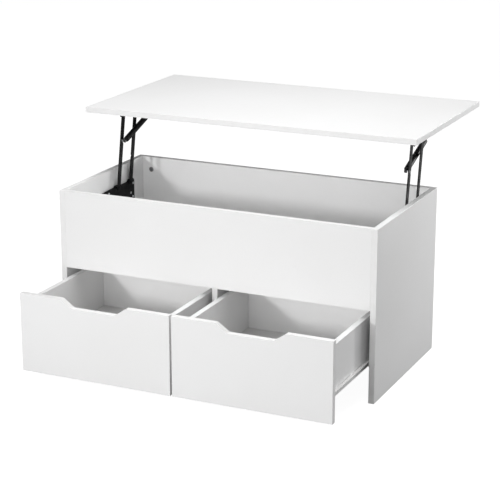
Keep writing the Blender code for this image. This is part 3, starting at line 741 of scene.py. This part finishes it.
def make_cabinet_runner(side, place):
    """The channel on the wall, its roller's tab and rivet, and its stop."""
    node = f"cabinet_{side}_{place}_runner"
    low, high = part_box(node)
    d = towards_drawer(side, place)
    back = low.x if d > 0 else high.x
    web, lip = back + d * SHEET, back + d * CHANNEL_LIP
    roller_low, roller_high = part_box(f"cabinet_{side}_{place}_roller")
    axle = (roller_low + roller_high) / 2
    front = axle.y + WHEEL_ROOM
    z0, z1 = low.z, CHANNEL_TOP
    section = [(back, z0), (lip, z0), (lip, z0 + SHEET), (web, z0 + SHEET), (web, z1 - SHEET),
               (lip, z1 - SHEET), (lip, z1), (back, z1)]
    bm = bmesh.new()
    slab(bm, polygon(section, [MM, 0.3 * MM, 0.3 * MM, 0.4 * MM, 0.4 * MM, 0.3 * MM, 0.3 * MM,
                                MM], 4), PLACES[1], front, high.y, SHEET_EDGE, steps=2)
    ob = solid_object(node + "_channel", bm, [WHITE_STEEL])
    tab = bmesh.new()
    slab(tab, polygon([(axle.y - 8 * MM, z0), (front + 5 * MM, z0), (front + 5 * MM, z1),
                        (axle.y - 8 * MM, z1)], [5 * MM, 0, 0, 9 * MM], 6), PLACES[0],
         min(back, web) + LIFT, max(back, web) - LIFT, SHEET_EDGE, steps=2)
    carve(ob, tab, "UNION")
    stop = bmesh.new()
    ends = sorted((web - d * SHEET / 2, lip - d * 5 * LIFT))
    block(stop, (ends[0], STOP_FRONT, STOP_LOW), (ends[1], STOP_REAR, z1 - SHEET / 2))
    carve(ob, stop, "UNION")
    add_wheel_rivet(ob, back + d * SHEET / 2, axle, d)
    stagger = 0 if place == "outer" else SIDES[side] * INNER_STAGGER
    add_runner_screws(ob, node, [
        (Vector((web - d * LIFT, y + stagger, CABINET_SCREW_Z)), (d, 0, 0), y * 13)
        for y in CABINET_SCREWS])


for each in SIDES:
    for where in ("outer", "inner"):
        make_roller(each, where, "drawer")
        make_roller(each, where, "cabinet")
        make_drawer_runner(each, where)
        make_cabinet_runner(each, where)


# ---- lift mechanism ------------------------------------------------------------------------------

def joint_point(name):
    """Where a joint's axis stands."""
    return Vector(JOINTS[name]["pos_m"])


REAR_FOOT, REAR_HEAD = joint_point("lift"), joint_point("top_level")
FRONT_FOOT, STRUT_LOW = joint_point("front_arms_swing"), joint_point("strut_tubes_swing")
FRONT_HEAD = FRONT_FOOT + REAR_HEAD - REAR_FOOT
TRAVEL = radians(92.1)                  # the arms' turn from raised to closed
NEST = Matrix.Rotation(-TRAVEL, 3, "X") @ (FRONT_FOOT - REAR_FOOT)
STRUT_DIR = Vector(JOINTS["strut_rods_slide"]["axis"]).normalized()
stud_low, stud_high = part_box("strut_head_stud_right")
STRUT_HIGH = Vector((0, (stud_low.y + stud_high.y) / 2, (stud_low.z + stud_high.z) / 2))
PIVOT_HOLE, NEST_R, SCREW_HOLE = 2.9 * MM, 4.7 * MM, 1.9 * MM
ARM_HALF_W, FLANGE_T = 9 * MM, 2.4 * MM
STRUT_X = (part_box("strut_rod_right")[0].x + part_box("strut_rod_right")[1].x) / 2


def holes_x(ob, points, x0, x1, radius=PIVOT_HOLE):
    """Drills holes along X through points, past x0 and x1."""
    for point in points:
        cutter = bmesh.new()
        rod(cutter, (x0 - MM, point[1], point[2]), (x1 + MM, point[1], point[2]), radius)
        carve(ob, cutter)


def make_arm(name, foot, head, nest, extra=()):
    """A flat bar with round ends and pivot holes. The bite at nest passes the other arm's rivet
    when the arms lie closed."""
    low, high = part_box(name)
    bm = bmesh.new()
    slab(bm, bar((foot.y, foot.z), (head.y, head.z), ARM_HALF_W, 16), PLACES[0], low.x, high.x,
         0.5 * MM)
    ob = solid_object(name + "_bar", bm, [BLACK])
    holes_x(ob, (foot, head, *extra), low.x, high.x)
    holes_x(ob, (nest,), low.x, high.x, NEST_R)
    finish_piece(ob, BODY_OF[name], [name])


# outlines and screws of the brackets, as (y, z) in millimetres
BASE_OUTLINE = [(-110, 388), (-98, 380), (20, 380), (62, 350), (160, 350), (160, 420), (151, 428),
                (124, 428), (118, 422), (62, 422), (57, 427), (43, 427), (38, 423), (-62, 420),
                (-110, 404)]
BASE_ROUND = [4, 8, 20, 12, 5, 5, 5, 5, 5, 4, 4, 4, 4, 20, 5]
BASE_SCREWS = [(-85, 400), (7, 411), (138, 384), (150, 370), (152, 411)]
BASE_SLOT = ((0.075, 0.372), (0.112, 0.372), 3 * MM)


def make_base_bracket(side):
    """The plate on the side panel, with slots for adjustment and its screws."""
    node = "base_bracket_" + side
    s = SIDES[side]
    low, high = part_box(node)
    outline = polygon([(y * MM, z * MM) for y, z in BASE_OUTLINE], [r * MM for r in BASE_ROUND], 6)
    bm = bmesh.new()
    slab(bm, outline, PLACES[0], low.x, high.x, 0.4 * MM)
    ob = solid_object(node + "_plate", bm, [BLACK])
    holes_x(ob, (FRONT_FOOT, REAR_FOOT), low.x, high.x)
    screws = [Vector((0, y * MM, z * MM)) for y, z in BASE_SCREWS]
    holes_x(ob, screws, low.x, high.x, SCREW_HOLE)
    slot = bmesh.new()
    slab(slot, bar(*BASE_SLOT), PLACES[0], low.x - MM, high.x + MM)
    carve(ob, slot)
    finish_piece(ob, "cabinet", [node])
    face = low.x if s > 0 else high.x
    add_copies(node + "_screws", BIG_SCREW,
               [(Vector((face - s * LIFT, p.y, p.z)), (-s, 0, 0), i * 0.7)
                for i, p in enumerate(screws)], "cabinet")


TOP_SCREW_X, TOP_SCREWS = 438 * MM, [75 * MM, 127 * MM, 250 * MM, 340 * MM]
FLANGE_WASTE = [
    (50, 600), (50, 645), (76, 645), (81, 636), (82.5, 629), (85.4, 625), (90.2, 625), (93, 629),
    (98, 635), (106, 641), (148, 641), (156, 634), (159, 627), (162, 624), (170, 624), (173, 627),
    (176, 634), (184, 641), (360, 641), (360, 600)]


def make_top_bracket(side):
    """A folded angle: its flange holds the upper pivots, its leg is screwed to the tabletop."""
    node = "top_bracket_" + side
    s = SIDES[side]
    low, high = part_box(node)
    out, inn = (high.x, low.x) if s > 0 else (low.x, high.x)
    section = [(out - s * FLANGE_T, low.z), (out, low.z), (out, high.z), (inn, high.z),
               (inn, high.z - FLANGE_T), (out - s * FLANGE_T, high.z - FLANGE_T)]
    radii = [0.4 * MM, 0.4 * MM, 3.4 * MM, 0.4 * MM, 0.4 * MM, 1.0 * MM]
    bm = bmesh.new()
    slab(bm, polygon(section, radii, 6), PLACES[1], low.y, high.y, 0.4 * MM)
    ob = solid_object(node + "_angle", bm, [BLACK])
    flange = sorted((out, out - s * FLANGE_T))
    relief = bmesh.new()
    waste = [(y * MM, z * MM) for y, z in FLANGE_WASTE]
    slab(relief, polygon(waste, [0, 0] + [1.5 * MM] * (len(waste) - 4) + [0, 0], 3),
         PLACES[0], flange[0] - MM, flange[1] + MM, 0.1 * MM)
    carve(ob, relief)
    holes_x(ob, (FRONT_HEAD, REAR_HEAD, STRUT_HIGH), *flange)
    places = []
    for i, y in enumerate(TOP_SCREWS):
        point = Vector((s * TOP_SCREW_X, y, high.z - FLANGE_T))
        hole = bmesh.new()
        rod(hole, point - Vector((0, 0, MM)), point + Vector((0, 0, 4 * MM)), SCREW_HOLE, 20)
        carve(ob, hole)
        places.append((point - Vector((0, 0, LIFT)), (0, 0, -1), i * 0.9))
    finish_piece(ob, "top", [node])
    add_copies(node + "_screws", BIG_SCREW, places, "top")


def make_rivet(node, point):
    """A shouldered rivet with a domed head towards the middle of the table."""
    low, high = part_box(node)
    s = 1 if low.x > 0 else -1
    outer, tip = (high.x, low.x) if s > 0 else (low.x, high.x)
    head_r = (high.z - low.z) / 2
    arm = "front_arm_right" if node.startswith("front") else "rear_arm_right"
    arm_low, arm_high = (corner.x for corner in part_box(arm))
    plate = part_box("base_bracket_right" if "foot" in node else "top_bracket_right")
    plate_face = plate[0].x if "foot" in node else plate[1].x - FLANGE_T
    shank, shoulder = 2.6 * MM, 3.6 * MM
    head = arm_low - GAP
    tall = head - abs(tip)
    profile = [(abs(outer), shank), (plate_face - GAP, shank), (plate_face - GAP, shoulder),
               (arm_high + GAP, shoulder), (arm_high + GAP, shank), (head, shank), (head, head_r)]
    profile += dome_head(head - tall * 0.35, -1, head_r, tall * 0.65)
    bm = bmesh.new()
    turned(bm, (0, point.y, point.z), (s, 0, 0), profile, 32)
    ob = solid_object(node + "_turned", bm, [BLACK])
    finish_piece(ob, BODY_OF[node], [node])


TUBE_FROM, TUBE_TO, TUBE_R, ROD_R = 7 * MM, 161 * MM, 8.2 * MM, 3 * MM
FITTING_R, FITTING_END = 5.3 * MM, 6 * MM


def fitting_end():
    """The round end of a strut's plastic fitting, as the start of a turned profile."""
    return [(-FITTING_END * cos(a), FITTING_R * sin(a)) for a in [pi / 16 * k for k in range(1, 9)]]


def make_fitting(name, body, point, axis, s, profile):
    """A strut's plastic socket, bored for its stud."""
    bm = bmesh.new()
    turned(bm, point, axis, fitting_end() + profile, 36)
    ob = solid_object(name, bm, [BLACK_PLASTIC])
    holes_x(ob, [point], *sorted((point.x - s * 4 * MM, point.x + s * 9 * MM)), radius=3.9 * MM)
    finish_piece(ob, body)


def make_strut(side):
    """The gas strut's painted tube, its chromed rod and the socket at each end."""
    s = SIDES[side]
    foot = Vector((s * STRUT_X, STRUT_LOW.y, STRUT_LOW.z))
    head = Vector((s * STRUT_X, STRUT_HIGH.y, STRUT_HIGH.z))
    bore = ROD_R + 0.3 * MM
    bm = bmesh.new()
    turned(bm, foot, STRUT_DIR, rounded_profile(
        [(TUBE_FROM, 3 * MM), (TUBE_FROM, TUBE_R), (TUBE_TO, TUBE_R), (TUBE_TO, bore),
         (TUBE_TO - 30 * MM, bore)], [2.4 * MM, 2.6 * MM, 0.4 * MM], 6)
        + [(TUBE_TO - 130 * MM, bore)], 48)
    tube = solid_object(f"strut_tube_{side}_body", bm, [STRUT_BLACK])
    finish_piece(tube, "strut_tubes", ["strut_tube_" + side])
    make_fitting(f"strut_foot_socket_{side}", "strut_tubes", foot, STRUT_DIR, s, [
        (4.5 * MM, FITTING_R), (TUBE_FROM + 0.4 * MM, 4.4 * MM), (TUBE_FROM + 0.4 * MM, 2.9 * MM),
        (TUBE_FROM + 2 * MM, 2.9 * MM)])
    make_fitting(f"strut_head_socket_{side}", "strut_rods", head, -STRUT_DIR, s, [
        (4.5 * MM, FITTING_R), (6.5 * MM, 4.2 * MM), (8.4 * MM, 4.2 * MM),
        (8.4 * MM, ROD_R + 0.05 * MM), (7.2 * MM, ROD_R + 0.05 * MM)])
    reach = (head - foot).length - TUBE_TO + 15 * MM
    bm = bmesh.new()
    turned(bm, head, -STRUT_DIR, [(7.3 * MM, ROD_R), (reach, ROD_R)], 32)
    shaft = solid_object(f"strut_rod_{side}_shaft", bm, [CHROME])
    finish_piece(shaft, "strut_rods", ["strut_rod_" + side])


def make_stud(node, point, ball):
    """A ball stud, or the shorter stud at the strut's upper end."""
    low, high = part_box(node)
    s = 1 if low.x > 0 else -1
    outer, tip = (high.x, low.x) if s > 0 else (low.x, high.x)
    plate = (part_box("front_arm_right")[0].x if ball
             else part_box("top_bracket_right")[1].x - FLANGE_T)
    face, collar = plate - GAP, 4.5 * MM
    profile = [(abs(outer), 2.6 * MM), (face, 2.6 * MM), (face, collar - GAP),
               (face - GAP, collar), (face - 1.2 * MM, collar), (face - 1.5 * MM, 4.2 * MM)]
    if ball:
        radius, centre = 3.4 * MM, STRUT_X
        profile += [(face - 1.5 * MM, 2 * MM)]
        profile += [(centre + radius * cos(a), radius * sin(a))
                    for a in [pi * k / 16 for k in range(4, 16)]]
    else:
        profile += [(face - 1.5 * MM, 3.4 * MM), (abs(tip) + 0.6 * MM, 3.4 * MM),
                    (abs(tip) + 0.1 * MM, 3.0 * MM), (abs(tip), 2.2 * MM)]
    bm = bmesh.new()
    turned(bm, (0, point.y, point.z), (s, 0, 0), profile, 32)
    ob = solid_object(node + "_turned", bm, [ZINC])
    finish_piece(ob, BODY_OF[node], [node])


for each in SIDES:
    make_arm("front_arm_" + each, FRONT_FOOT, FRONT_HEAD, FRONT_HEAD - NEST, [STRUT_LOW])
    make_arm("rear_arm_" + each, REAR_FOOT, REAR_HEAD, REAR_FOOT + NEST)
    make_base_bracket(each)
    make_top_bracket(each)
    for rivet, at in (("front_foot", FRONT_FOOT), ("rear_foot", REAR_FOOT),
                      ("front_head", FRONT_HEAD), ("rear_head", REAR_HEAD)):
        make_rivet(f"{rivet}_rivet_{each}", at)
    make_strut(each)
    make_stud("strut_foot_stud_" + each, STRUT_LOW, True)
    make_stud("strut_head_stud_" + each, STRUT_HIGH, False)


# ---- studio --------------------------------------------------------------------------------------

def make_floor():
    """A pale floor that glows, so that shadows on it vanish into white. Light linking keeps the
    glow off the table."""
    m = Nodes("studio_floor")
    tone = m.spread(m.noise(2, 2), 0, 1)
    m.set(Base_Color=m.mix(tone, grey(0.19), grey(0.21)), Roughness=0.9, Specular_IOR_Level=0.1,
          Emission_Color=(1.0, 1.0, 1.0), Emission_Strength=0.96)
    bm = bmesh.new()
    block(bm, (-30, -30, -0.02), (30, 30, -0.0005))
    floor = solid_object("studio_floor", bm, [m.material])
    lit = bpy.data.collections.new("lit_by_floor")
    lit.objects.link(floor)
    floor.light_linking.receiver_collection = lit


def add_area(name, place, target, size, power):
    """A square light at a place, turned to a target."""
    data = bpy.data.lights.new(name, "AREA")
    data.shape = "SQUARE"
    data.size = size
    data.energy = power
    light = bpy.data.objects.new(name, data)
    light.location = place
    light.rotation_euler = (Vector(target) - Vector(place)).to_track_quat("-Z", "Y").to_euler()
    bpy.context.scene.collection.objects.link(light)


def add_sun(name, towards, strength, angle):
    """A sun that stands in a direction, with its width in degrees."""
    data = bpy.data.lights.new(name, "SUN")
    data.energy = strength
    data.angle = radians(angle)
    light = bpy.data.objects.new(name, data)
    light.rotation_euler = Vector(towards).to_track_quat("Z", "Y").to_euler()
    bpy.context.scene.collection.objects.link(light)


def light_studio():
    """A key from the front left, soft lights above and before the table, one behind on the right
    that reaches its side, and a faint hard one from behind."""
    world = bpy.data.worlds.new("studio")
    world.use_nodes = True
    background = world.node_tree.nodes["Background"]
    background.inputs["Color"].default_value = (1, 1, 1, 1)
    background.inputs["Strength"].default_value = 0.03
    bpy.context.scene.world = world
    bpy.context.scene.view_settings.view_transform = "Standard"
    add_area("key", (-1.4, -3.4, 1.2), (0, -0.3, 0.3), 0.3, 44)
    add_area("front_soft", (0.1, -2.5, 0.55), (0, -0.3, 0.2), 1.0, 15.5)
    add_area("overhead", (0.2, -0.2, 2.4), (0.2, -0.2, 0), 2.0, 50)
    add_area("right_fill", (1.6, 1.3, 0.55), (0.47, 0.1, 0.3), 1.0, 15)
    add_sun("front_fill", (0.1, -1.0, 0.55), 0.45, 40)
    add_sun("behind", (0.36, 0.93, 0.2), 1.3, 3)


CAMERA_AT, CAMERA_LENS = (1.84746, -3.98084, 1.62486), 116.96
CAMERA_YAW, CAMERA_PITCH = radians(24.854), radians(16.801)


def make_camera():
    """The camera in front on the right, looking down at the table."""
    data = bpy.data.cameras.new("camera")
    data.sensor_width = 36
    data.lens = CAMERA_LENS
    data.clip_end = 100
    camera = bpy.data.objects.new("camera", data)
    camera.location = CAMERA_AT
    camera.rotation_euler = (pi / 2 - CAMERA_PITCH, 0, CAMERA_YAW)
    bpy.context.scene.collection.objects.link(camera)
    bpy.context.scene.camera = camera


make_floor()
light_studio()
make_camera()
